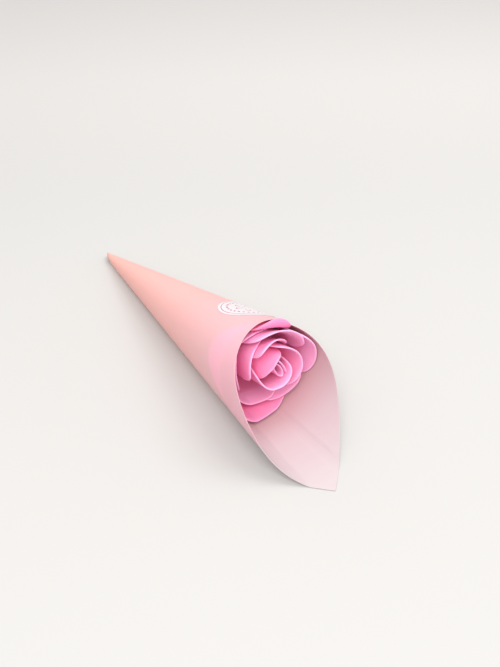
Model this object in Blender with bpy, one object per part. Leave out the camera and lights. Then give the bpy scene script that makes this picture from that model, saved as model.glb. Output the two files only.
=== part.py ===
"""A single rose in a rolled cone of frosted film.

The cone is one rectangular sheet rolled from its corner, so its opposite corner is the tongue at the
mouth. The flower head sits in the mouth on a calyx and a stem. Everything is worked out in a frame
with the cone's apex at the origin and its lowest line along +X on the ground, then moved so that
the origin is under the middle of the bounding box. Lengths are in millimetres until they are meshed.
"""

import math

import bmesh
import bpy
import numpy as np

METRES = 0.001

# Film sheet and the cone that it is rolled into
SHEET_RIGHT = 210.0
SHEET_FRONT = 220.0
FILM_THICKNESS = 0.3
FILM_LAYER_GAP = 0.15
CONE_HALF_ANGLE = 7.46
OUT_OF_ROUND = ((2, 0.025, -0.007), (3, 0.023, -0.046))
TONGUE_ANGLE = -6.6
REST_FLAT_DEPTH = 0.006
TIP_CUT_TOP = 14.0
TIP_CUT_BOTTOM = 27.0
TIP_CUT_ANGLE = 130.0
UNDERLAP_ANGLE = 5.0

# Sticker on the outside of the film
STICKER_DIAMETER = 35.0
STICKER_THICKNESS = 0.25
STICKER_FROM_TIP = 205.0
STICKER_ANGLE = 157.0

# Flower head
HEAD_FROM_TIP = 186.0
HEAD_TILT = 4.0
HEAD_LEAN = 2.5
PETAL_THICKNESS = 1.0
BUD_RADIUS = 4.2
BUD_LENGTH = 43.0
BUD_FOOT_RADIUS = 1.6
BUD_WAIST_RADIUS = 3.2
BUD_SHOULDER_SHARE, BUD_CROWN_SHARE = 0.8, 0.35
RECEPTACLE_HEIGHT = 14.0
RECEPTACLE_RADIUS = 11.0
RECEPTACLE_TOP_RADIUS = 1.8

# Calyx and stem
CALYX_WALL = 1.2
CALYX_RIM_RADIUS = 18.0
CALYX_DEPTH = 9.0
CALYX_NECK_RADIUS = 3.2
CALYX_NECK_LENGTH = 9.0
SEPAL_REACH = 5.0
SEPALS = 5
CALYX_NECK_FLARE = 0.6
CALYX_BOWL_SHARES = (0.45, 0.62)
SEPAL_SPREAD = 0.5
STEM_DIAMETER = 3.2
STEM_LENGTH = 120.0

# Room between pieces that touch
SEAT_GAP = 0.3

# Steps round the round pieces
TURNED_SIDES = 20
STICKER_SIDES = 32
CALYX_SIDES = 40

# Colours, linear
FILM_COLOUR = (0.90, 0.55, 0.53, 1.0)
PETAL_COLOUR = (0.93, 0.20, 0.42, 1.0)
STICKER_COLOUR = (0.88, 0.84, 0.86, 1.0)
GREEN_COLOUR = (0.12, 0.26, 0.08, 1.0)

# Each petal: angle round the head from underneath, half width, layer (0 the bud, 1 against the
# film), layer change from the middle to the +angle side, rim height, slope of the rim towards the
# +angle side, outward curl of the rim, how far up the curl starts, and how many layers the middle
# of the rim leans in
PETALS = {
    "petal_outer_top": (164, 33, 0.935, -0.018, 54.0, 1.0, 5.5, 0.93, 0.0),
    "petal_outer_right": (97, 39, 0.94, -0.045, 57.5, 1.0, 0.0, 0.55, 0.0),
    "petal_outer_bottom": (2, 53, 0.93, -0.045, 51.0, -5.0, 0.0, 0.55, 0.0),
    "petal_outer_left": (-79, 39, 0.94, -0.045, 47.0, 0.0, 0.0, 0.55, 0.0),
    "petal_outer_back": (-135, 37, 0.94, -0.045, 46.0, 0.0, 0.0, 0.55, 0.0),
    "petal_middle_top": (190, 37, 0.805, 0.013, 47.5, 2.0, 0.0, 0.8, 0.0),
    "petal_middle_back": (155, 56, 0.727, -0.04, 58.5, 0.0, 4.0, 0.62, 0.0),
    "petal_middle_left": (-100, 43, 0.715, -0.055, 51.0, 0.0, 0.3, 0.55, 0.0),
    "petal_middle_lower": (-14, 44, 0.73, -0.06, 44.5, 5.0, 1.5, 0.55, 0.0),
    "petal_middle_right": (34, 43, 0.765, -0.04, 51.5, 7.0, 1.0, 0.55, 0.0),
    "petal_inner_back": (173, 54, 0.46, -0.03, 58.5, 5.0, 4.0, 0.6, 0.0),
    "petal_inner_left": (-136, 58, 0.52, -0.06, 54.0, 6.0, 0.0, 0.55, 0.0),
    "petal_inner_right": (103, 78, 0.46, -0.1, 58.5, -1.0, 0.8, 0.55, 0.0),
    "petal_heart_cup": (-3, 115, 0.25, -0.06, 59.5, 3.0, 0.0, 0.55, 0.03),
    "petal_heart_cover": (-140, 88, 0.24, -0.03, 59.5, -1.0, 0.0, 0.55, 0.2),
}
# The profile of a petal: where it is fully open, how round its side is, where its rim curls and
# leans, and how its rim and its foot narrow
OPEN_FULLY = 0.62
OPEN_ROUNDNESS = 0.85
CURL_DROP = 0.5
SIDE_TAPER_POWER = 1.6
LEAN_START = 0.45
RIM_ROUNDING = 0.14
RIM_ROUNDING_POWER = 2.6
FOOT_WIDTH = 0.5
FOOT_END, FULL_WIDTH = 0.15, 0.75
BASE_HEIGHT_POWER = 0.8
PETAL_STEPS_ACROSS = 8
PETAL_ROWS = (0.0, 0.16, 0.32, 0.48, 0.62, 0.75, 0.87, 0.94, 1.0)


def round_section(angle):
    """Distance of the film from the cone's axis, as a share of the distance along the axis."""
    share = 1.0
    for waves, cosine, sine in OUT_OF_ROUND:
        share = share + cosine * np.cos(waves * angle) + sine * np.sin(waves * angle)
    return math.tan(math.radians(CONE_HALF_ANGLE)) * share


ROUND = np.radians(np.arange(-180.0, 180.0, 0.5))
ROUND_DEPTHS = round_section(ROUND) * np.cos(ROUND)
REST_SLOPE = float(np.max(ROUND_DEPTHS)) - REST_FLAT_DEPTH
REST_EDGES = [float(ROUND[ROUND_DEPTHS > REST_SLOPE].min()), float(ROUND[ROUND_DEPTHS > REST_SLOPE].max())]
PITCH = math.atan(REST_SLOPE)
AXIS = np.array([math.cos(PITCH), 0.0, math.sin(PITCH)])
UPWARD = np.array([-math.sin(PITCH), 0.0, math.cos(PITCH)])
SIDEWAYS = np.array([0.0, 1.0, 0.0])


def cone_section(angle):
    """The section with its underside pressed flat by what it lies on."""
    return np.minimum(round_section(angle), REST_SLOPE / np.maximum(np.cos(angle), 0.5))


def outward(angle):
    """Unit direction away from the cone's axis: angle 0 points down and 90 degrees to +Y."""
    angle = np.asarray(angle)[..., None]
    return np.sin(angle) * SIDEWAYS - np.cos(angle) * UPWARD


def cone_line(angle):
    """Unit vector from the apex along the film at this angle."""
    angle = np.asarray(angle, float)
    line = AXIS + cone_section(angle)[..., None] * outward(angle)
    return line / np.linalg.norm(line, axis=-1, keepdims=True)


def cone_normal(angle):
    """Unit vector out of the film at this angle, square to cone_line."""
    step = math.radians(0.5)
    along = cone_line(angle + step) - cone_line(angle - step)
    normal = np.cross(along, cone_line(angle))
    normal = normal / np.linalg.norm(normal, axis=-1, keepdims=True)
    facing = np.sum(normal * outward(angle), axis=-1, keepdims=True)
    return normal * np.sign(facing)


TABLE_ANGLES = np.radians(np.arange(-540.0, 540.5, 0.5))
TABLE_LINES = cone_line(TABLE_ANGLES)
TABLE_STEPS = np.linalg.norm(np.diff(TABLE_LINES, axis=0), axis=1)
TABLE_FLAT_ANGLES = np.concatenate([[0.0], np.cumsum(TABLE_STEPS)])
TABLE_FLAT_ANGLES -= np.interp(math.radians(TONGUE_ANGLE), TABLE_ANGLES, TABLE_FLAT_ANGLES)


def flat_angle(angle):
    """Angle on the unrolled sheet, from the line that ends at the tongue's corner."""
    return np.interp(angle, TABLE_ANGLES, TABLE_FLAT_ANGLES)


def rolled_angle(on_sheet):
    """The angle round the cone of a line at this angle on the unrolled sheet."""
    return np.interp(on_sheet, TABLE_FLAT_ANGLES, TABLE_ANGLES)


# The sheet's diagonal splits its corner into these two angles
INNER_SIDE = math.atan2(SHEET_FRONT, SHEET_RIGHT)
OUTER_SIDE = math.pi / 2 - INNER_SIDE
INNER_SEAM = float(rolled_angle(INNER_SIDE))
OUTER_SEAM = float(rolled_angle(-OUTER_SIDE))


def rim_distance(angle):
    """Distance from the apex to the sheet's edge."""
    on_sheet = flat_angle(angle)
    right = SHEET_RIGHT / np.cos(INNER_SIDE - np.maximum(on_sheet, 0.0))
    front = SHEET_FRONT / np.cos(OUTER_SIDE + np.minimum(on_sheet, 0.0))
    return np.where(on_sheet >= 0.0, right, front)


def tip_distance(angle):
    """Distance from the apex to the oblique opening at the tip."""
    middle = (TIP_CUT_TOP + TIP_CUT_BOTTOM) / 2
    swing = (TIP_CUT_BOTTOM - TIP_CUT_TOP) / 2
    return middle - swing * np.cos(angle - math.radians(TIP_CUT_ANGLE))


def smooth_step(value, start, end):
    share = np.clip((value - start) / (end - start), 0.0, 1.0)
    return share * share * (3.0 - 2.0 * share)


def layer_depth(angle):
    """How far the sheet lies inside the outermost layer: it passes under its own outer edge."""
    under = OUTER_SEAM + 2 * math.pi
    start = under - math.radians(UNDERLAP_ANGLE)
    return (FILM_THICKNESS + FILM_LAYER_GAP) * smooth_step(angle, start, under)


def film_point(angle, distance, inward):
    """A point of the film, moved inward from the outer face of the outermost layer."""
    line = cone_line(angle) * np.asarray(distance)[..., None]
    return line - cone_normal(angle) * np.asarray(inward)[..., None]


def material(name, colour, roughness, transmission=0.0):
    made = bpy.data.materials.new(name)
    made.use_nodes = True
    shader = made.node_tree.nodes["Principled BSDF"]
    shader.inputs["Base Color"].default_value = colour
    shader.inputs["Roughness"].default_value = roughness
    shader.inputs["Transmission Weight"].default_value = transmission
    return made


def mesh_object(name, points, faces, made_of):
    """One object from points in millimetres, with its faces turned outwards."""
    mesh = bpy.data.meshes.new(name)
    mesh.from_pydata((np.asarray(points) * METRES).tolist(), [], faces)
    shell = bmesh.new()
    shell.from_mesh(mesh)
    bmesh.ops.recalc_face_normals(shell, faces=shell.faces)
    shell.to_mesh(mesh)
    shell.free()
    mesh.shade_smooth()
    mesh.set_sharp_from_angle(angle=math.radians(40.0))
    mesh.materials.append(made_of)
    made = bpy.data.objects.new(name, mesh)
    bpy.context.collection.objects.link(made)
    return made


def slab(name, front, back, made_of):
    """A closed sheet between two grids of points; front looks outwards."""
    rows, columns = front.shape[:2]
    points = np.concatenate([front.reshape(-1, 3), back.reshape(-1, 3)])
    count = rows * columns

    def at(row, column, side):
        return side * count + row * columns + column

    faces = []
    for row in range(rows - 1):
        for column in range(columns - 1):
            ring = [(row, column), (row + 1, column), (row + 1, column + 1), (row, column + 1)]
            faces.append([at(*corner, 0) for corner in ring])
            faces.append([at(*corner, 1) for corner in reversed(ring)])
    border = [(row, 0) for row in range(rows)]
    border += [(rows - 1, column) for column in range(1, columns)]
    border += [(row, columns - 1) for row in range(rows - 2, -1, -1)]
    border += [(0, column) for column in range(columns - 2, 0, -1)]
    for first, second in zip(border, border[1:] + border[:1]):
        faces.append([at(*second, 0), at(*first, 0), at(*first, 1), at(*second, 1)])
    return mesh_object(name, points, faces, made_of)


def turned(name, profile, made_of, base, along):
    """A closed solid of revolution from (distance along, radius) pairs round an axis."""
    sides = TURNED_SIDES
    turn = np.radians(np.arange(0.0, 360.0, 360.0 / sides))
    up = np.cross(along, SIDEWAYS)
    points = [base + along * profile[0][0]]
    for distance, radius in profile[1:-1]:
        for angle in turn:
            spoke = math.cos(angle) * SIDEWAYS + math.sin(angle) * up
            points.append(base + along * distance + spoke * radius)
    points.append(base + along * profile[-1][0])
    last = len(points) - 1
    faces = []
    for side in range(sides):
        after = (side + 1) % sides
        faces.append([0, 1 + after, 1 + side])
        for ring in range(len(profile) - 3):
            low = 1 + ring * sides
            high = low + sides
            faces.append([low + side, low + after, high + after, high + side])
        faces.append([last, last - sides + side, last - sides + after])
    return mesh_object(name, points, faces, made_of)


def make_wrap():
    """The film: one sheet, nearly two turns, open at the mouth and at the tip."""
    under = OUTER_SEAM + 2 * math.pi
    turns = [OUTER_SEAM, math.radians(TONGUE_ANGLE), INNER_SEAM]
    turns += [under - math.radians(UNDERLAP_ANGLE) * share for share in (1.0, 0.5, 0.0)]
    turns += REST_EDGES
    turns += [math.radians(step) for step in range(-350, 350, 8)]
    spacing = math.radians(1.5)
    chosen = sorted(turn for turn in set(turns) if OUTER_SEAM <= turn <= INNER_SEAM)
    angles = [chosen[0]]
    for turn in chosen[1:]:
        if turn - angles[-1] > spacing:
            angles.append(turn)
    angles = np.array(angles)
    shares = np.array([0.0, 0.35, 0.7, 1.0])
    start = tip_distance(angles)
    distance = start[:, None] + (rim_distance(angles) - start)[:, None] * shares
    spread = np.repeat(angles[:, None], len(shares), axis=1)
    depth = layer_depth(spread)
    outer = film_point(spread, distance, depth)
    inner = film_point(spread, distance, depth + FILM_THICKNESS)
    return slab("wrap", outer, inner, material("film", FILM_COLOUR, 0.4, 0.3))


def sticker_point(radius, turn, lift):
    """A point of the round sticker, laid on the outer face of the cone."""
    along = STICKER_FROM_TIP + radius * np.cos(turn)
    across = radius * np.sin(turn)
    middle = flat_angle(math.radians(STICKER_ANGLE - 360.0))
    angle = rolled_angle(middle + np.arctan2(across, along))
    return film_point(angle, np.hypot(along, across), -lift)


def make_sticker():
    """A thin round label on the outside of the film."""
    sides = STICKER_SIDES
    turn = np.radians(np.arange(0.0, 360.0, 360.0 / sides))
    rings = [STICKER_DIAMETER / 2 * share for share in (0.33, 0.67, 1.0)]
    under, over = SEAT_GAP, SEAT_GAP + STICKER_THICKNESS
    points = []
    for lift in (over, under):
        points.append(sticker_point(0.0, 0.0, np.array(lift)))
        for radius in rings:
            points.extend(sticker_point(radius, turn, np.full(sides, lift)))
    half = 1 + len(rings) * sides
    faces = []
    for side in range(sides):
        after = (side + 1) % sides
        faces.append([0, 1 + side, 1 + after])
        faces.append([half, half + 1 + after, half + 1 + side])
        for ring in range(len(rings) - 1):
            low = 1 + ring * sides
            high = low + sides
            quad = [low + side, high + side, high + after, low + after]
            faces.append(quad)
            faces.append([half + corner for corner in reversed(quad)])
        rim = 1 + (len(rings) - 1) * sides
        faces.append([rim + side, half + rim + side, half + rim + after, rim + after])
    return mesh_object("sticker", points, faces, material("label", STICKER_COLOUR, 0.25))


def base_height(layer):
    """Height on the receptacle where a layer of petals starts."""
    return RECEPTACLE_HEIGHT * (1.0 - layer) ** BASE_HEIGHT_POWER


def base_radius(layer):
    """Radius at which a layer of petals starts, just outside the receptacle."""
    seat = SEAT_GAP + PETAL_THICKNESS / 2
    return RECEPTACLE_TOP_RADIUS + (RECEPTACLE_RADIUS - RECEPTACLE_TOP_RADIUS) * layer + seat


def film_room(height, angle):
    """Radius at which a petal just clears the inside of the film."""
    stack = 2 * FILM_THICKNESS + FILM_LAYER_GAP
    return (HEAD_FROM_TIP + height) * cone_section(angle) - stack - SEAT_GAP - PETAL_THICKNESS / 2


def head_axis(height):
    """The middle of the bud at this height: the head leans up and to the side of its cone."""
    lean = math.tan(math.radians(HEAD_TILT)) * UPWARD + math.tan(math.radians(HEAD_LEAN)) * SIDEWAYS
    return lean * np.asarray(height)[..., None]


def head_point(height, angle, layer, rim_height, curl, curl_start, lean_in):
    """The middle surface of the petal family: nested cups from the bud out to the film."""
    low = base_height(layer)
    rise = np.clip((height - low) / (rim_height - low), 0.0, 1.0)
    turned_out = np.clip((rise - curl_start) / (1.0 - curl_start), 0.0, 1.0) ** 2
    height = height - CURL_DROP * curl * turned_out
    reach = layer - lean_in * smooth_step(rise, LEAN_START, 1.0)
    widest = reach * film_room(height, angle) + (1.0 - reach) * BUD_RADIUS
    opening = np.sin(np.minimum(rise / OPEN_FULLY, 1.0) * math.pi / 2) ** OPEN_ROUNDNESS
    start = base_radius(layer)
    radius = start + (widest - start) * opening + curl * turned_out
    middle = AXIS * (HEAD_FROM_TIP + height)[..., None]
    return middle + head_axis(height) * (1.0 - layer)[..., None] + outward(angle) * radius[..., None]


def petal_grid(settings):
    """Middle surface of one petal: across from side to side, up from the receptacle to the rim."""
    centre, half_width, layer, twist, rim_height, slope, curl, curl_start, lean_in = settings
    side = np.linspace(-1.0, 1.0, PETAL_STEPS_ACROSS + 1)[:, None]
    up = np.array(PETAL_ROWS)[None, :]
    own_layer = layer + twist * side + 0.0 * up
    low = base_height(own_layer) + SEAT_GAP
    rounding = 1.0 - RIM_ROUNDING * np.abs(side) ** RIM_ROUNDING_POWER
    rim = low + (rim_height + slope * side - low) * rounding
    height = low + (rim - low) * up
    width = FOOT_WIDTH + (1.0 - FOOT_WIDTH) * smooth_step(up, FOOT_END, FULL_WIDTH)
    angle = np.radians(centre + half_width * width * side)
    middle = (1.0 - side**2) ** SIDE_TAPER_POWER
    return head_point(height, angle, own_layer, rim, curl * middle, curl_start, lean_in * middle)


def grid_normals(grid):
    across = np.gradient(grid, axis=0)
    up = np.gradient(grid, axis=1)
    normal = np.cross(across, up)
    return normal / np.linalg.norm(normal, axis=-1, keepdims=True)


def make_petal(name, settings, made_of):
    grid = petal_grid(settings)
    offset = grid_normals(grid) * PETAL_THICKNESS / 2
    middle = offset[PETAL_STEPS_ACROSS // 2, len(PETAL_ROWS) // 2]
    if np.sum(middle * outward(math.radians(settings[0]))) < 0.0:
        offset = -offset
    return slab(name, grid + offset, grid - offset, made_of)


def make_bud(made_of):
    """The rolled heart of the flower."""
    low = RECEPTACLE_HEIGHT + SEAT_GAP
    top = low + BUD_LENGTH
    along = AXIS + head_axis(1.0)
    along = along / np.linalg.norm(along)
    widest = BUD_RADIUS - SEAT_GAP - PETAL_THICKNESS / 2
    profile = [(low, 0.0), (low, BUD_FOOT_RADIUS), (low + BUD_LENGTH / 3, BUD_WAIST_RADIUS)]
    profile += [(top - widest, widest), (top - widest / 3, widest * BUD_SHOULDER_SHARE)]
    profile += [(top, widest * BUD_CROWN_SHARE), (top, 0.0)]
    return turned("petal_heart_bud", profile, made_of, AXIS * HEAD_FROM_TIP, along)


def make_receptacle(made_of):
    """The solid core that the petals are fixed to."""
    seat = SEAT_GAP + PETAL_THICKNESS / 2
    profile = [(0.0, 0.0)]
    profile += [(base_height(layer), base_radius(layer) - seat) for layer in (1.0, 0.75, 0.5, 0.25, 0.0)]
    profile += [(RECEPTACLE_HEIGHT, 0.0)]
    return turned("receptacle", profile, made_of, AXIS * HEAD_FROM_TIP, AXIS)


def make_calyx(made_of):
    """The cup under the petals, with pointed sepals round its rim and a neck over the stem."""
    sides = CALYX_SIDES
    turn = np.radians(np.arange(0.0, 360.0, 360.0 / sides))
    point = (0.5 + 0.5 * np.cos(SEPALS * turn)) ** 2
    top = 0.0
    floor = -SEAT_GAP
    bore = STEM_DIAMETER / 2 + SEAT_GAP
    neck_end = top - CALYX_DEPTH - CALYX_NECK_LENGTH
    rings = [(neck_end, bore + 0.0 * turn), (neck_end, CALYX_NECK_RADIUS + 0.0 * turn)]
    rings += [(top - CALYX_DEPTH, CALYX_NECK_RADIUS + CALYX_NECK_FLARE + 0.0 * turn)]
    bowl_depth, bowl_radius = CALYX_BOWL_SHARES
    rings += [(top - CALYX_DEPTH * bowl_depth, CALYX_RIM_RADIUS * bowl_radius + 0.0 * turn)]
    rings += [(top + SEPAL_REACH * point, CALYX_RIM_RADIUS + SEPAL_REACH * SEPAL_SPREAD * point)]
    rings += [(top + SEPAL_REACH * point, CALYX_RIM_RADIUS - CALYX_WALL + SEPAL_REACH * SEPAL_SPREAD * point)]
    rings += [(floor, CALYX_RIM_RADIUS - 2 * CALYX_WALL + 0.0 * turn)]
    rings += [(floor, bore + 0.0 * turn)]
    points = []
    for distance, radius in rings:
        middle = AXIS * (HEAD_FROM_TIP + distance + 0.0 * turn)[:, None]
        points.extend(middle + outward(turn) * radius[:, None])
    count = len(rings)
    faces = []
    for ring in range(count):
        low = ring * sides
        high = (ring + 1) % count * sides
        for side in range(sides):
            after = (side + 1) % sides
            faces.append([low + side, low + after, high + after, high + side])
    return mesh_object("calyx", points, faces, made_of)


def make_stem(made_of):
    """The stem, whose end sits in the calyx under the receptacle."""
    top = -SEAT_GAP
    radius = STEM_DIAMETER / 2
    profile = [(top - STEM_LENGTH, 0.0), (top - STEM_LENGTH, radius), (top, radius), (top, 0.0)]
    return turned("stem", profile, made_of, AXIS * HEAD_FROM_TIP, AXIS)


def centre_on_ground(made):
    """Moves everything so that the origin is under the middle of the bounding box."""
    points = np.concatenate([[tuple(vertex.co) for vertex in piece.data.vertices] for piece in made])
    low, high = points.min(axis=0), points.max(axis=0)
    for piece in made:
        piece.location = (-(low[0] + high[0]) / 2, -(low[1] + high[1]) / 2, -low[2])


def main():
    for old in list(bpy.data.objects):
        bpy.data.objects.remove(old, do_unlink=True)
    petal_material = material("petal", PETAL_COLOUR, 0.55)
    green = material("green", GREEN_COLOUR, 0.5)
    made = [make_wrap(), make_sticker()]
    made += [make_petal(name, settings, petal_material) for name, settings in PETALS.items()]
    made += [make_bud(petal_material), make_receptacle(petal_material)]
    made += [make_calyx(green), make_stem(green)]
    centre_on_ground(made)


main()
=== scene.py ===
# %% [markdown]
# A single artificial rose in a cone of frosted film. The frame holds the solids. Here they are dressed:
# the film, the petals and the label are modelled finer, from the same formulas, and every surface gets
# its finish.

import math

import bmesh
import bpy
import numpy as np
from mathutils import Matrix, Vector


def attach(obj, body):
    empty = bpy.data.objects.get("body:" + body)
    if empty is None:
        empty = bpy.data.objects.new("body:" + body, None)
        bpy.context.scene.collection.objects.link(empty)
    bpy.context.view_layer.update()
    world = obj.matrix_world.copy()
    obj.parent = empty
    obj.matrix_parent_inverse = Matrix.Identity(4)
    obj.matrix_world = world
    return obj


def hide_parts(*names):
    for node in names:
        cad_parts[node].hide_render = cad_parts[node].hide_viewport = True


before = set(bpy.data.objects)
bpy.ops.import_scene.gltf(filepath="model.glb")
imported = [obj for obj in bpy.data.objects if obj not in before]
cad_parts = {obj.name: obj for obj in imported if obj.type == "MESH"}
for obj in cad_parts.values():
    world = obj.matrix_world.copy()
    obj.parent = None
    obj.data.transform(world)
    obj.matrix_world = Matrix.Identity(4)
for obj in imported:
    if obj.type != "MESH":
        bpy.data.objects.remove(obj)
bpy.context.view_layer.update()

# %% [markdown]
# The camera comes first, because everything is judged through it. Its place was worked out from the rims
# of the cone in the photograph, so it is given as a place, a looking direction and an upward direction.
# Places in the object are in millimetres from the cone's apex, and APEX is where that lies in the frame.

# %% Camera
MM = 0.001
APEX = np.array([-158.856, -0.762, 0.0])
CAMERA_FROM_APEX = np.array([509.1, -192.9, 299.0])
LOOKING = np.array([-0.6778, 0.4470, -0.5838])
IMAGE_UP = np.array([-0.4851, 0.3248, 0.8119])
LENS_MM, SENSOR_MM = 41.18, 36.0
NEAREST_SEEN = 0.01


def place_camera():
    camera = bpy.data.objects.new("camera", bpy.data.cameras.new("camera"))
    camera.data.lens = LENS_MM
    camera.data.sensor_width = SENSOR_MM
    camera.data.clip_start = NEAREST_SEEN
    back = -Vector(LOOKING).normalized()
    side = Vector(IMAGE_UP).cross(back).normalized()
    up = back.cross(side)
    turn = Matrix((side, up, back)).transposed()
    camera.matrix_world = Matrix.Translation((APEX + CAMERA_FROM_APEX) * MM) @ turn.to_4x4()
    bpy.context.collection.objects.link(camera)
    bpy.context.scene.camera = camera
    return camera


print("camera at", tuple(place_camera().location))

# %% [markdown]
# The film is a rectangular sheet rolled from one corner. A rolled sheet is straight along every line
# through the apex, so one formula gives any point of it: an angle round the cone and a distance from
# the apex. The mouth is a little out of round, as film is when it lies on a table, and the underside is
# pressed flat.

# %% The section of the cone
HALF_ANGLE_SLOPE = math.tan(math.radians(7.46))
OUT_OF_ROUND = ((2, 0.025, -0.007), (3, 0.023, -0.046))
REST_FLAT_DEPTH = 0.006
ANGLE_STEP_DEGREES = 0.5
SIDEWAYS = np.array([0.0, 1.0, 0.0])


def round_section(angle):
    """Distance of the film from the cone's axis, as a share of the distance along the axis."""
    share = 1.0
    for waves, cosine, sine in OUT_OF_ROUND:
        share = share + cosine * np.cos(waves * angle) + sine * np.sin(waves * angle)
    return HALF_ANGLE_SLOPE * share


ROUND = np.radians(np.arange(-180.0, 180.0, ANGLE_STEP_DEGREES))
REST_SLOPE = float(np.max(round_section(ROUND) * np.cos(ROUND))) - REST_FLAT_DEPTH
PITCH = math.atan(REST_SLOPE)
AXIS = np.array([math.cos(PITCH), 0.0, math.sin(PITCH)])
UPWARD = np.array([-math.sin(PITCH), 0.0, math.cos(PITCH)])


def cone_section(angle):
    """The section with its underside pressed flat by what it lies on."""
    return np.minimum(round_section(angle), REST_SLOPE / np.maximum(np.cos(angle), 0.5))


def outward(angle):
    """Unit direction away from the cone's axis: angle 0 points down and 90 degrees to +Y."""
    angle = np.asarray(angle)[..., None]
    return np.sin(angle) * SIDEWAYS - np.cos(angle) * UPWARD


def cone_line(angle):
    """Unit vector from the apex along the film at this angle."""
    angle = np.asarray(angle, float)
    line = AXIS + cone_section(angle)[..., None] * outward(angle)
    return line / np.linalg.norm(line, axis=-1, keepdims=True)


def cone_normal(angle):
    """Unit vector out of the film at this angle, square to cone_line."""
    step = math.radians(ANGLE_STEP_DEGREES)
    normal = np.cross(cone_line(angle + step) - cone_line(angle - step), cone_line(angle))
    normal = normal / np.linalg.norm(normal, axis=-1, keepdims=True)
    return normal * np.sign(np.sum(normal * outward(angle), axis=-1, keepdims=True))


print("the cone's axis rises by", round(math.degrees(PITCH), 2), "degrees")

# %% [markdown]
# A table turns an angle round the cone into the angle on the flat sheet, which says where the sheet's
# edges come to lie. The seam is where the sheet runs under its own outer turn, one layer deeper.

# %% The sheet on the cone
SHEET_RIGHT, SHEET_FRONT = 210.0, 220.0
FILM_THICKNESS, FILM_LAYER_GAP = 0.3, 0.15
TONGUE_ANGLE, UNDERLAP = math.radians(-6.6), math.radians(5.0)
TIP_CUT_TOP, TIP_CUT_BOTTOM, TIP_CUT_ANGLE = 14.0, 27.0, math.radians(130.0)

TABLE_ANGLES = np.radians(np.arange(-540.0, 540.0 + ANGLE_STEP_DEGREES, ANGLE_STEP_DEGREES))
TABLE_STEPS = np.linalg.norm(np.diff(cone_line(TABLE_ANGLES), axis=0), axis=1)
TABLE_FLAT = np.concatenate([[0.0], np.cumsum(TABLE_STEPS)])
TABLE_FLAT -= np.interp(TONGUE_ANGLE, TABLE_ANGLES, TABLE_FLAT)
INNER_SIDE = math.atan2(SHEET_FRONT, SHEET_RIGHT)
OUTER_SIDE = math.pi / 2 - INNER_SIDE
INNER_SEAM = float(np.interp(INNER_SIDE, TABLE_FLAT, TABLE_ANGLES))
OUTER_SEAM = float(np.interp(-OUTER_SIDE, TABLE_FLAT, TABLE_ANGLES))


def rim_distance(angle):
    """Distance from the apex to the edge of the sheet."""
    flat = np.interp(angle, TABLE_ANGLES, TABLE_FLAT)
    right = SHEET_RIGHT / np.cos(INNER_SIDE - np.maximum(flat, 0.0))
    front = SHEET_FRONT / np.cos(OUTER_SIDE + np.minimum(flat, 0.0))
    return np.where(flat >= 0.0, right, front)


def tip_distance(angle):
    """Distance from the apex to the oblique cut at the tip."""
    middle, swing = (TIP_CUT_TOP + TIP_CUT_BOTTOM) / 2, (TIP_CUT_BOTTOM - TIP_CUT_TOP) / 2
    return middle - swing * np.cos(angle - TIP_CUT_ANGLE)


def smooth_step(value, start, end):
    share = np.clip((value - start) / (end - start), 0.0, 1.0)
    return share * share * (3.0 - 2.0 * share)


def layer_depth(angle):
    """How far inwards the sheet lies, which steps down by one layer before it runs under itself."""
    under = OUTER_SEAM + 2 * math.pi
    return (FILM_THICKNESS + FILM_LAYER_GAP) * smooth_step(angle, under - UNDERLAP, under)


def film_point(angle, distance, inward):
    line = cone_line(angle) * np.asarray(distance)[..., None]
    return line - cone_normal(angle) * np.asarray(inward)[..., None]


print("turns of film", round((INNER_SEAM - OUTER_SEAM) / (2 * math.pi), 2))

# %% [markdown]
# These helpers do what is done to every piece. A grid primitive has its points placed by a formula, and
# a modifier is added and applied at once, so that nothing is left live on the finished mesh.


# %% Helpers for pieces
def deselect():
    for piece in bpy.context.selected_objects:
        piece.select_set(False)


def read_points(piece):
    """The points of a mesh, as rows of three."""
    flat = np.empty(len(piece.data.vertices) * 3)
    piece.data.vertices.foreach_get("co", flat)
    return flat.reshape(-1, 3)


def grid_piece(name, across, along, place):
    """A grid primitive with its points moved to place(u, v), u and v from 0 to 1, in mm from the apex."""
    deselect()
    bpy.ops.mesh.primitive_grid_add(x_subdivisions=across, y_subdivisions=along, size=2.0)
    piece = bpy.context.object
    piece.name = piece.data.name = name
    square = read_points(piece)
    u, v = (square[:, 0] + 1.0) / 2.0, (square[:, 1] + 1.0) / 2.0
    points = (place(u, v) + APEX) * MM
    piece.data.vertices.foreach_set("co", points.ravel())
    piece.data.update()
    return piece


def apply(piece, kind, **settings):
    deselect()
    piece.select_set(True)
    bpy.context.view_layer.objects.active = piece
    modifier = piece.modifiers.new(kind.lower(), kind)
    for key, value in settings.items():
        setattr(modifier, key, value)
    bpy.ops.object.modifier_apply(modifier=modifier.name)


def face_outwards(piece):
    shell = bmesh.new()
    shell.from_mesh(piece.data)
    bmesh.ops.recalc_face_normals(shell, faces=shell.faces)
    shell.to_mesh(piece.data)
    shell.free()
    piece.data.shade_smooth()


def sheet_piece(name, across, along, place, thickness):
    """A rounded piece of petal sheet. Its UV map runs across the piece and up to its rim."""
    piece = grid_piece(name, across, along, place)
    piece.data.uv_layers.active.name = "sheet"
    apply(piece, "SOLIDIFY", thickness=thickness * MM, offset=0.0)
    apply(piece, "SUBSURF", levels=1)
    face_outwards(piece)
    return piece


def keep_values(piece, name, values):
    """Store one number for each point of a mesh, for its material to read."""
    kept = piece.data.attributes.new(name, "FLOAT", "POINT")
    kept.data.foreach_set("value", values)


def finish_piece(piece, slot, made_of, *nodes):
    piece.data.materials.clear()
    piece.data.materials.append(made_of)
    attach(piece, "root")
    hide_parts(*nodes)
    print(piece.name, "polygons", len(piece.data.polygons))


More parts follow.
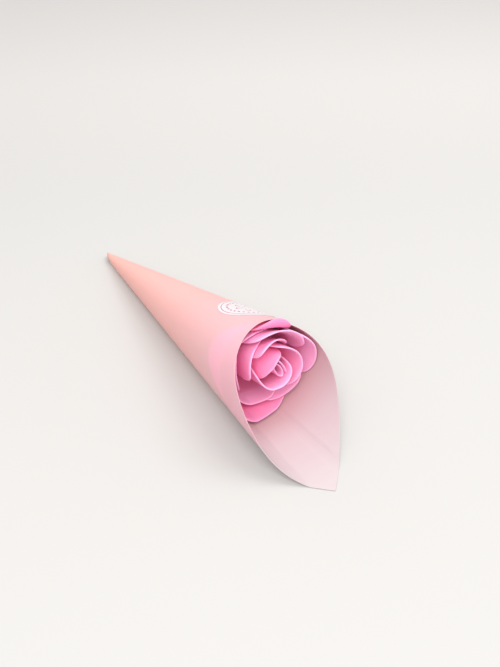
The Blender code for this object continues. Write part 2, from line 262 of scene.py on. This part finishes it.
# %% [markdown]
# Materials are built from nodes by the name of their sockets. A socket given as a value is linked, and
# anything else is the constant on that input.


# %% Helpers for materials
def fill_inputs(step, values):
    for key, value in values.items():
        if isinstance(value, bpy.types.NodeSocket):
            step.id_data.links.new(value, step.inputs[key])
        else:
            step.inputs[key].default_value = value


def new_material(name, values):
    """A material and its Principled shader."""
    made = bpy.data.materials.new(name)
    made.use_nodes = True
    shader = made.node_tree.nodes["Principled BSDF"]
    fill_inputs(shader, values)
    return made, shader


def add_node(made, kind, values, **settings):
    step = made.node_tree.nodes.new("ShaderNode" + kind)
    for key, value in settings.items():
        setattr(step, key, value)
    fill_inputs(step, values)
    return step


def object_place(made):
    return add_node(made, "TexCoord", {}).outputs["Object"]


def tint_ramp(made, place, stops):
    """The colour of a ramp at this place, from stops of a place and a colour each."""
    ramp = add_node(made, "ValToRGB", {"Fac": place})
    for position, colour in stops[1:-1]:
        ramp.color_ramp.elements.new(position)
    for stop, (position, colour) in zip(ramp.color_ramp.elements, stops):
        stop.position, stop.color = position, (*colour, 1.0)
    return ramp.outputs["Color"]


def map_range(made, value, source, target=(0.0, 1.0), **settings):
    values = {"Value": value, "From Min": source[0], "From Max": source[1]}
    values.update({"To Min": target[0], "To Max": target[1]})
    return add_node(made, "MapRange", values, **settings).outputs["Result"]


def math_step(made, operation, *values):
    return add_node(made, "Math", dict(enumerate(values)), operation=operation).outputs["Value"]


def mix_colours(made, share, first, second):
    values = {"Factor": share, "A": first, "B": second}
    return add_node(made, "Mix", values, data_type="RGBA").outputs["Result"]


# %% [markdown]
# Frosted film lets light through and blurs what is behind it. Its material is rough transmission with a
# share of plain pink, so that two layers look deeper than one. The tint goes from salmon at the tip to
# a paler rose at the tongue. The paler tongue is painted light of the white floor showing through its
# single layer, and a darker band just before it is painted shade where the flower shades the inside.
# Where petals lie against the inside, the near_petals value says how much of their pink is painted onto
# the film, a painted see-through that stands in for light coming through from the petals.

# %% Film material
# Salmon at the tip, then a painted shade band where the flower shades the tongue, then paler to the end
# as painted light of the floor through one layer.
FILM_TINT_AND_PAINTED_LIGHT = (
    (0.0, (0.88, 0.46, 0.40)),
    (0.5, (0.87, 0.47, 0.45)),
    (0.72, (0.85, 0.50, 0.53)),
    (0.79, (0.70, 0.46, 0.49)),
    (0.86, (0.69, 0.55, 0.58)),
    (1.0, (0.71, 0.62, 0.64)),
)
# Painted see-through: the petals' pink is painted onto the film where they lie behind it, in place of
# light coming through.
PAINTED_SEE_THROUGH_PINK = (0.97, 0.50, 0.60, 1.0)
TRANSLUCENT_SHARE = 0.06
CONE_ENDS = (-0.14, 0.14)
CLEAR_PLACES, CLEAR_SHARES = (-0.02, 0.12), (0.03, 0.16)

film_material, shader = new_material("frosted film", {"Roughness": 0.45, "IOR": 1.3})
apart = add_node(film_material, "SeparateXYZ", {"Vector": object_place(film_material)})
along = map_range(film_material, apart.outputs["X"], CONE_ENDS)
clear = map_range(film_material, apart.outputs["X"], CLEAR_PLACES, CLEAR_SHARES)
film_tint_and_light = tint_ramp(film_material, along, FILM_TINT_AND_PAINTED_LIGHT)
near = add_node(film_material, "Attribute", {}, attribute_name="near_petals")
# The painted see-through pink of the petals is mixed over the film's tint.
film_colour = mix_colours(film_material, near.outputs["Fac"], film_tint_and_light, PAINTED_SEE_THROUGH_PINK)
fill_inputs(shader, {"Base Color": film_colour, "Transmission Weight": clear})
glow = add_node(film_material, "BsdfTranslucent", {"Color": film_colour})
both_values = {"Fac": TRANSLUCENT_SHARE, 1: shader.outputs["BSDF"], 2: glow.outputs["BSDF"]}
both = add_node(film_material, "MixShader", both_values)
fill_inputs(film_material.node_tree.nodes["Material Output"], {"Surface": both.outputs["Shader"]})
print("material", film_material.name)

# %% [markdown]
# The wrap is one sheet, so it is one grid: one side of the grid runs round the cone for nearly two turns,
# the other from the oblique cut at the tip to the sheet's edge. Its rows crowd towards the edge.
# Solidify gives it its thickness.

# %% The film wrap
HEAD_FROM_TIP = 186.0
FILM_ACROSS, FILM_ALONG, RIM_CROWDING = 400, 80, 1.5
NEAR_MIDDLE, NEAR_REACH, NEAR_SIDES = -120.0, 45.0, 60.0
NEAR_HEIGHT, NEAR_RISE, NEAR_EDGE, OUT_OF_REACH = 30.0, 12.0, 1.2, 1000.0
RIMS_LOW, RIMS_HIGH, FADE_PAST_RIMS = 45.0, 47.0, 0.4


def film_place(u, v):
    angle = OUTER_SEAM + (INNER_SEAM - OUTER_SEAM) * u
    start = tip_distance(angle)
    distance = start + (rim_distance(angle) - start) * (1.0 - (1.0 - v) ** RIM_CROWDING)
    return film_point(angle, distance, layer_depth(angle) + FILM_THICKNESS / 2)


def near_petals(points):
    """How much painted pink of the petals shows through the film at these points, from 0 to 1."""
    along = points @ AXIS
    away = points - along[:, None] * AXIS
    angle = np.degrees(np.arctan2(away @ SIDEWAYS, -(away @ UPWARD)))
    height = along - HEAD_FROM_TIP
    starts = NEAR_HEIGHT + NEAR_RISE * ((angle - NEAR_MIDDLE) / NEAR_REACH) ** 2
    starts = np.where(np.abs(angle - NEAR_MIDDLE) < NEAR_SIDES, starts, OUT_OF_REACH)
    fade = 1.0 - FADE_PAST_RIMS * smooth_step(height, RIMS_LOW, RIMS_HIGH)
    return smooth_step(height, starts - NEAR_EDGE, starts + NEAR_EDGE) * fade


wrap = grid_piece("film_wrap", FILM_ACROSS, FILM_ALONG, film_place)
apply(wrap, "SOLIDIFY", thickness=FILM_THICKNESS * MM, offset=0.0)
face_outwards(wrap)
# The mask of painted see-through pink is kept on the film for its material.
keep_values(wrap, "near_petals", near_petals(read_points(wrap) / MM - APEX))
finish_piece(wrap, "film", film_material, "wrap")

# %% [markdown]
# The petals are cut from one soft pink sheet about a millimetre thick. The tint is deep at the foot and
# pale at the rim, a little uneven. The deep foot is partly painted shade down in the cup, and the pale
# rim partly a painted highlight along the edges. A value kept on each petal moves it up or down the
# ramp: painted light and shade for each petal, lighter on the middle petals and the outer right one,
# darker on the outer top, the outer bottom and the heart's cover. The colour also goes deeper between
# petals by itself, because light is coloured each time it bounces.

# %% Petal material
# Deep at the foot, partly as painted shade in the cup; pale at the very rim, partly as a painted
# highlight.
PETAL_TINT_LIGHT_AND_SHADE = (
    (0.35, (1.0, 0.16, 0.40)),
    (0.72, (1.0, 0.31, 0.55)),
    (0.97, (1.0, 0.40, 0.65)),
    (1.0, (1.0, 0.48, 0.74)),
)
UNEVENNESS = 0.06
petal_values = {
    "Roughness": 0.5,
    "Specular IOR Level": 0.35,
    "Subsurface Weight": 0.15,
    "Subsurface Radius": (1.0, 0.4, 0.6),
    "Subsurface Scale": 0.001,
}

petal_material, shader = new_material("pink petal", petal_values)
where = object_place(petal_material)
mottle = add_node(petal_material, "TexNoise", {"Vector": where, "Scale": 60.0, "Detail": 3.0})
on_sheet = add_node(petal_material, "UVMap", {}, uv_map="sheet")
across = add_node(petal_material, "SeparateXYZ", {"Vector": on_sheet.outputs["UV"]})
uneven = math_step(petal_material, "MULTIPLY_ADD", mottle.outputs["Fac"], UNEVENNESS, across.outputs["Y"])
# Each petal's painted light and shade moves its tint up or down the ramp.
pale = add_node(petal_material, "Attribute", {}, attribute_name="petal_painted_light")
moved = math_step(petal_material, "ADD", uneven, pale.outputs["Fac"])
petal_tint_and_shade = tint_ramp(petal_material, moved, PETAL_TINT_LIGHT_AND_SHADE)
grain = add_node(petal_material, "TexNoise", {"Vector": where, "Scale": 900.0})
bump_values = {"Strength": 0.08, "Distance": 0.0003, "Height": grain.outputs["Fac"]}
bump = add_node(petal_material, "Bump", bump_values)
fill_inputs(shader, {"Base Color": petal_tint_and_shade, "Normal": bump.outputs["Normal"]})
print("material", petal_material.name)

# %% [markdown]
# All petals follow one family of nested cups, from the rolled bud in the middle out to the film. Each has
# its own place round the head, its width and its rim, and one side tucks inside the next petal. The
# numbers of a petal are its angle round the head from underneath, half width, layer (0 the bud, 1
# against the film), layer change from the middle to the side, rim height, slope of the rim, outward
# curl of the rim, how far up the curl starts, and how many layers the middle of the rim leans in.

# %% The petal family
HEAD_LEAN = math.tan(math.radians(4.0)) * UPWARD + math.tan(math.radians(2.5)) * SIDEWAYS
PETAL_THICKNESS, BUD_RADIUS, SEAT_GAP = 1.0, 4.2, 0.3
RECEPTACLE_HEIGHT, RECEPTACLE_RADIUS, RECEPTACLE_TOP_RADIUS = 14.0, 11.0, 1.8
BASE_HEIGHT_POWER = 0.8
OPEN_FULLY, OPEN_ROUNDNESS = 0.62, 0.85
CURL_DROP, LEAN_START, SIDE_TAPER_POWER = 0.5, 0.45, 1.6
RIM_ROUNDING, RIM_ROUNDING_POWER = 0.14, 2.6
CORNER_ROUNDING, CORNER_ROUNDING_POWER = 0.16, 9
FOOT_WIDTH, FOOT_END, FULL_WIDTH = 0.5, 0.15, 0.75
PETAL_ACROSS, PETAL_ALONG = 40, 30
PETALS = {
    "petal_outer_top": (164, 33, 0.935, -0.018, 54.0, 1.0, 5.5, 0.93, 0.0),
    "petal_outer_right": (97, 39, 0.94, -0.045, 57.5, 4.0, 0.0, 0.55, 0.0),
    "petal_outer_bottom": (2, 53, 0.93, -0.045, 51.0, -5.0, 0.0, 0.55, 0.0),
    "petal_outer_left": (-79, 39, 0.94, -0.045, 47.0, 0.0, 0.0, 0.55, 0.0),
    "petal_outer_back": (-135, 37, 0.94, -0.045, 46.0, 0.0, 0.0, 0.55, 0.0),
    "petal_middle_top": (190, 37, 0.805, 0.013, 47.5, 2.0, 0.0, 0.8, 0.0),
    "petal_middle_back": (155, 56, 0.727, -0.04, 58.5, 0.0, 4.0, 0.62, 0.0),
    "petal_middle_left": (-100, 43, 0.715, -0.055, 51.0, 0.0, 0.3, 0.55, 0.0),
    "petal_middle_lower": (-14, 44, 0.73, -0.06, 44.5, 5.0, 1.5, 0.55, 0.0),
    "petal_middle_right": (34, 43, 0.765, -0.04, 51.5, 7.0, 1.0, 0.55, 0.0),
    "petal_inner_back": (173, 54, 0.46, -0.03, 58.5, 5.0, 4.0, 0.6, 0.0),
    "petal_inner_left": (-136, 58, 0.52, -0.06, 54.0, 6.0, 0.0, 0.55, 0.0),
    "petal_inner_right": (103, 78, 0.46, -0.1, 58.5, -1.0, 0.8, 0.55, 0.0),
    "petal_heart_cup": (-3, 115, 0.25, -0.06, 59.5, 3.0, 0.0, 0.55, 0.03),
    "petal_heart_cover": (-140, 88, 0.24, -0.03, 59.5, -1.0, 0.0, 0.55, 0.2),
}
# Painted light and shade, one number a petal: a positive number paints the petal lighter, a negative one
# darker.
PETAL_LIGHT_AND_SHADE = {
    "petal_outer_top": -0.3,
    "petal_outer_right": 0.18,
    "petal_outer_bottom": -0.12,
    "petal_middle_top": 0.1,
    "petal_middle_back": 0.22,
    "petal_middle_left": 0.1,
    "petal_middle_lower": 0.25,
    "petal_middle_right": 0.12,
    "petal_heart_cover": -0.12,
}


def base_height(layer):
    """Height on the receptacle where a layer of petals starts."""
    return RECEPTACLE_HEIGHT * (1.0 - layer) ** BASE_HEIGHT_POWER


def head_point(height, angle, layer, rim_height, curl, curl_start, lean_in):
    """The middle surface of the petal family: nested cups from the bud out to the film."""
    low = base_height(layer)
    rise = np.clip((height - low) / (rim_height - low), 0.0, 1.0)
    turned_out = np.clip((rise - curl_start) / (1.0 - curl_start), 0.0, 1.0) ** 2
    height = height - CURL_DROP * curl * turned_out
    reach = layer - lean_in * smooth_step(rise, LEAN_START, 1.0)
    stack = 2 * FILM_THICKNESS + FILM_LAYER_GAP + SEAT_GAP + PETAL_THICKNESS / 2
    room = (HEAD_FROM_TIP + height) * cone_section(angle) - stack
    widest = reach * room + (1.0 - reach) * BUD_RADIUS
    opening = np.sin(np.minimum(rise / OPEN_FULLY, 1.0) * math.pi / 2) ** OPEN_ROUNDNESS
    seat = SEAT_GAP + PETAL_THICKNESS / 2
    start = RECEPTACLE_TOP_RADIUS + (RECEPTACLE_RADIUS - RECEPTACLE_TOP_RADIUS) * layer + seat
    radius = start + (widest - start) * opening + curl * turned_out
    middle = AXIS * (HEAD_FROM_TIP + height)[..., None]
    middle = middle + HEAD_LEAN * (height * (1.0 - layer))[..., None]
    return middle + outward(angle) * radius[..., None]


def petal_place(settings):
    centre, half_width, layer, twist, rim_height, slope, curl, curl_start, lean_in = settings

    def place(u, v):
        side = 2.0 * u - 1.0
        own_layer = layer + twist * side
        low = base_height(own_layer) + SEAT_GAP
        rounding = 1.0 - RIM_ROUNDING * np.abs(side) ** RIM_ROUNDING_POWER
        rounding = rounding - CORNER_ROUNDING * np.abs(side) ** CORNER_ROUNDING_POWER
        rim = low + (rim_height + slope * side - low) * rounding
        height = low + (rim - low) * v
        width = FOOT_WIDTH + (1.0 - FOOT_WIDTH) * smooth_step(v, FOOT_END, FULL_WIDTH)
        angle = np.radians(centre + half_width * width * side)
        middle = (1.0 - side**2) ** SIDE_TAPER_POWER
        return head_point(height, angle, own_layer, rim, curl * middle, curl_start, lean_in * middle)

    return place


# %% [markdown]
# One loop makes all fifteen petals and names each one after the solid that it replaces.

# %% The petals
for node, settings in PETALS.items():
    place = petal_place(settings)
    petal = sheet_piece(node + "_sheet", PETAL_ACROSS, PETAL_ALONG, place, PETAL_THICKNESS)
    # Each petal keeps its painted light and shade as a value on its points.
    keep_values(petal, "petal_painted_light", np.full(len(petal.data.vertices), PETAL_LIGHT_AND_SHADE.get(node, 0.0)))
    finish_piece(petal, "petal", petal_material, node)

# %% [markdown]
# The heart of the flower is a strip of the same sheet, rolled up to a flat oval. It leans a little aside,
# into the cup, and its inner turn ends lower than its outer one.

# %% The rolled bud
BUD_LOW, BUD_TOP, BUD_TURNS = 14.3, 57.5, 1.35
BUD_LONG, BUD_SHORT, BUD_SLANT = 8.4, 3.3, math.radians(-24.0)
BUD_ASIDE, ASIDE_START = 1.4 * SIDEWAYS - 0.9 * UPWARD, 0.3
INNER_TURN_DROP, DROP_START = 1.5, 0.7
BUD_FOOT_SHARE, BUD_FULL_HEIGHT = 0.35, 0.6
INNER_TURN_SHARE = 0.42
BUD_SHEET_THICKNESS = 0.8
BUD_ACROSS, BUD_ALONG = 96, 24


def bud_place(u, v):
    """A strip wound round a flat oval: u goes along the strip, v up from the receptacle."""
    drop = INNER_TURN_DROP * smooth_step(v, DROP_START, 1.0) * (1.0 - u)
    height = BUD_LOW + (BUD_TOP - BUD_LOW) * v - drop
    swell = BUD_FOOT_SHARE + (1.0 - BUD_FOOT_SHARE) * smooth_step(v, 0.0, BUD_FULL_HEIGHT)
    share = swell * (INNER_TURN_SHARE + (1.0 - INNER_TURN_SHARE) * u)
    turn = 2 * math.pi * BUD_TURNS * u
    long_way = BUD_LONG * share * np.cos(turn)
    short_way = BUD_SHORT * share * np.sin(turn)
    up = long_way * math.cos(BUD_SLANT) - short_way * math.sin(BUD_SLANT)
    across = long_way * math.sin(BUD_SLANT) + short_way * math.cos(BUD_SLANT)
    middle = AXIS * (HEAD_FROM_TIP + height)[..., None] + HEAD_LEAN * height[..., None]
    middle = middle + BUD_ASIDE * smooth_step(v, ASIDE_START, 1.0)[..., None]
    return middle + UPWARD * up[..., None] + SIDEWAYS * across[..., None]


bud = sheet_piece("petal_bud_roll", BUD_ACROSS, BUD_ALONG, bud_place, BUD_SHEET_THICKNESS)
finish_piece(bud, "petal", petal_material, "petal_heart_bud")

# %% [markdown]
# The label is glossy white paper with a thin ring, a circle of dashes and a flower of three waves inside.
# The pattern is drawn in the label's own flat coordinates, kept as a UV map, so that the ring stays
# round on the paper. Distances in it are shares of the label's diameter.

# %% Label material
RING = (0.435, 0.447)
DASH_CIRCLE, DASHES, DASH_LENGTH = (0.325, 0.36), 26.0, 0.1
FLOWER_WAVES, FLOWER_REACH, FLOWER_LINE = 3.0, 0.22, 0.012
LABEL_PAPER, LABEL_INK = (0.67, 0.63, 0.66, 1.0), (0.42, 0.02, 0.12, 1.0)
label_material, shader = new_material("glossy label", {"Roughness": 0.22})


def label_math(operation, *values):
    return math_step(label_material, operation, *values)


def label_band(value, low, high):
    above, below = label_math("GREATER_THAN", value, low), label_math("LESS_THAN", value, high)
    return label_math("MULTIPLY", above, below)


paper_place = add_node(label_material, "UVMap", {}, uv_map="paper")
apart = add_node(label_material, "SeparateXYZ", {"Vector": paper_place.outputs["UV"]})
across = label_math("SUBTRACT", apart.outputs["X"], 0.5)
upward = label_math("SUBTRACT", apart.outputs["Y"], 0.5)
reach = label_math("ADD", label_math("POWER", across, 2.0), label_math("POWER", upward, 2.0))
reach = label_math("SQRT", reach)
turn = label_math("ARCTAN2", upward, across)
ring = label_band(reach, *RING)
dash = label_math("GREATER_THAN", label_math("SINE", label_math("MULTIPLY", turn, DASHES)), DASH_LENGTH)
dashes = label_math("MULTIPLY", label_band(reach, *DASH_CIRCLE), dash)
leaf = label_math("ABSOLUTE", label_math("SINE", label_math("MULTIPLY", turn, FLOWER_WAVES)))
leaf_edge = label_math("MULTIPLY", leaf, FLOWER_REACH)
flower = label_band(label_math("SUBTRACT", reach, leaf_edge), -FLOWER_LINE, FLOWER_LINE)
ink = label_math("MAXIMUM", label_math("MAXIMUM", ring, dashes), flower)
fill_inputs(shader, {"Base Color": mix_colours(label_material, ink, LABEL_PAPER, LABEL_INK)})
print("material", label_material.name)

# %% [markdown]
# The label is a square grid pressed into a round and laid on the curve of the cone. The same squeeze of
# its UV map keeps the pattern flat.

# %% The label
STICKER_DIAMETER, STICKER_THICKNESS, STICKER_GAP = 35.0, 0.12, 0.08
STICKER_FROM_TIP, STICKER_ANGLE = 205.0, 157.0
STICKER_GRID = 40


def square_to_round(x, y):
    """Move a point of the square from -1 to 1 into the round of radius 1."""
    return x * np.sqrt(1.0 - y * y / 2.0), y * np.sqrt(1.0 - x * x / 2.0)


def label_place(u, v):
    round_x, round_y = square_to_round(2.0 * u - 1.0, 2.0 * v - 1.0)
    round_x, round_y = round_x * STICKER_DIAMETER / 2, round_y * STICKER_DIAMETER / 2
    along = STICKER_FROM_TIP + round_x
    middle = np.interp(math.radians(STICKER_ANGLE - 360.0), TABLE_ANGLES, TABLE_FLAT)
    angle = np.interp(middle + np.arctan2(round_y, along), TABLE_FLAT, TABLE_ANGLES)
    return film_point(angle, np.hypot(along, round_y), -(STICKER_GAP + STICKER_THICKNESS / 2))


label = grid_piece("round_label", STICKER_GRID, STICKER_GRID, label_place)
paper_map = label.data.uv_layers.active
paper_map.name = "paper"
for corner in paper_map.data:
    round_x, round_y = square_to_round(2.0 * corner.uv[0] - 1.0, 2.0 * corner.uv[1] - 1.0)
    corner.uv = (0.5 + 0.5 * round_x, 0.5 + 0.5 * round_y)
apply(label, "SOLIDIFY", thickness=STICKER_THICKNESS * MM, offset=0.0)
face_outwards(label)
finish_piece(label, "label", label_material, "sticker")

# %% [markdown]
# The stem, the calyx and the core under the petals are hidden in the cone. They keep the shapes of the
# frame and get a matt moulded green and the petals' pink.

# %% Green plastic
GREEN_TINTS = ((0.0, (0.07, 0.17, 0.05)), (1.0, (0.14, 0.28, 0.09)))
green_material, shader = new_material("moulded green", {"Roughness": 0.55})
fibre = add_node(green_material, "TexNoise", {"Vector": object_place(green_material), "Scale": 120.0})
fill_inputs(shader, {"Base Color": tint_ramp(green_material, fibre.outputs["Fac"], GREEN_TINTS)})
for node in ("calyx", "stem"):
    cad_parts[node].data.materials[0] = green_material
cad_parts["receptacle"].data.materials[0] = petal_material
print("material", green_material.name)

# %% [markdown]
# The floor is a plain sheet of white paper, painted a little lighter towards the far end as painted
# light.

# %% Floor
AWAY_FROM_CAMERA = (-0.835, 0.551, 0.0)
# The far paper is painted lighter than the near: painted light, not a change in the paper.
NEAR_PAPER, FAR_PAPER = (0.555, 0.55, 0.54, 1.0), (0.615, 0.60, 0.59, 1.0)
PAPER_CHANGES = (0.20, 0.60)
FLOOR_SIZE, FLOOR_DROP = 6.0, 0.0002

floor_material, shader = new_material("white paper", {"Roughness": 0.95, "Specular IOR Level": 0.1})
away_values = {0: object_place(floor_material), 1: AWAY_FROM_CAMERA}
away = add_node(floor_material, "VectorMath", away_values, operation="DOT_PRODUCT")
far = map_range(floor_material, away.outputs["Value"], PAPER_CHANGES, interpolation_type="SMOOTHSTEP")
paper_colour = mix_colours(floor_material, far, NEAR_PAPER, FAR_PAPER)
fill_inputs(shader, {"Base Color": paper_colour})
deselect()
bpy.ops.mesh.primitive_plane_add(size=FLOOR_SIZE, location=(0.0, 0.0, -FLOOR_DROP))
floor = bpy.context.object
floor.name = "floor"
floor.data.materials.append(floor_material)
print("floor of", FLOOR_SIZE, "m")

# %% [markdown]
# Two large soft lamps light the object, one from above at the right and one from the camera's side over
# the mouth, and an even bright room fills the shadows, as in a small product studio.

# %% Lamps
ROOM_COLOUR, ROOM_STRENGTH = (1.0, 0.985, 0.97, 1.0), 0.9


def area_lamp(name, place, size, watts, colour):
    lamp = bpy.data.objects.new(name, bpy.data.lights.new(name, "AREA"))
    lamp.data.shape = "DISK"
    lamp.data.size = size
    lamp.data.energy = watts
    lamp.data.color = colour
    lamp.location = place
    lamp.rotation_euler = (-Vector(place)).to_track_quat("-Z", "Y").to_euler()
    bpy.context.collection.objects.link(lamp)


area_lamp("key lamp", place=(0.05, 0.6, 1.4), size=1.1, watts=9.0, colour=(1.0, 0.985, 0.97))
area_lamp("fill lamp", place=(0.9, -0.6, 1.25), size=1.2, watts=16.5, colour=(1.0, 0.99, 0.98))
world = bpy.data.worlds.new("studio")
world.use_nodes = True
fill_inputs(world.node_tree.nodes["Background"], {"Color": ROOM_COLOUR, "Strength": ROOM_STRENGTH})
bpy.context.scene.world = world
bpy.context.scene.view_settings.view_transform = "Standard"
print("lamps", len(bpy.data.lights))
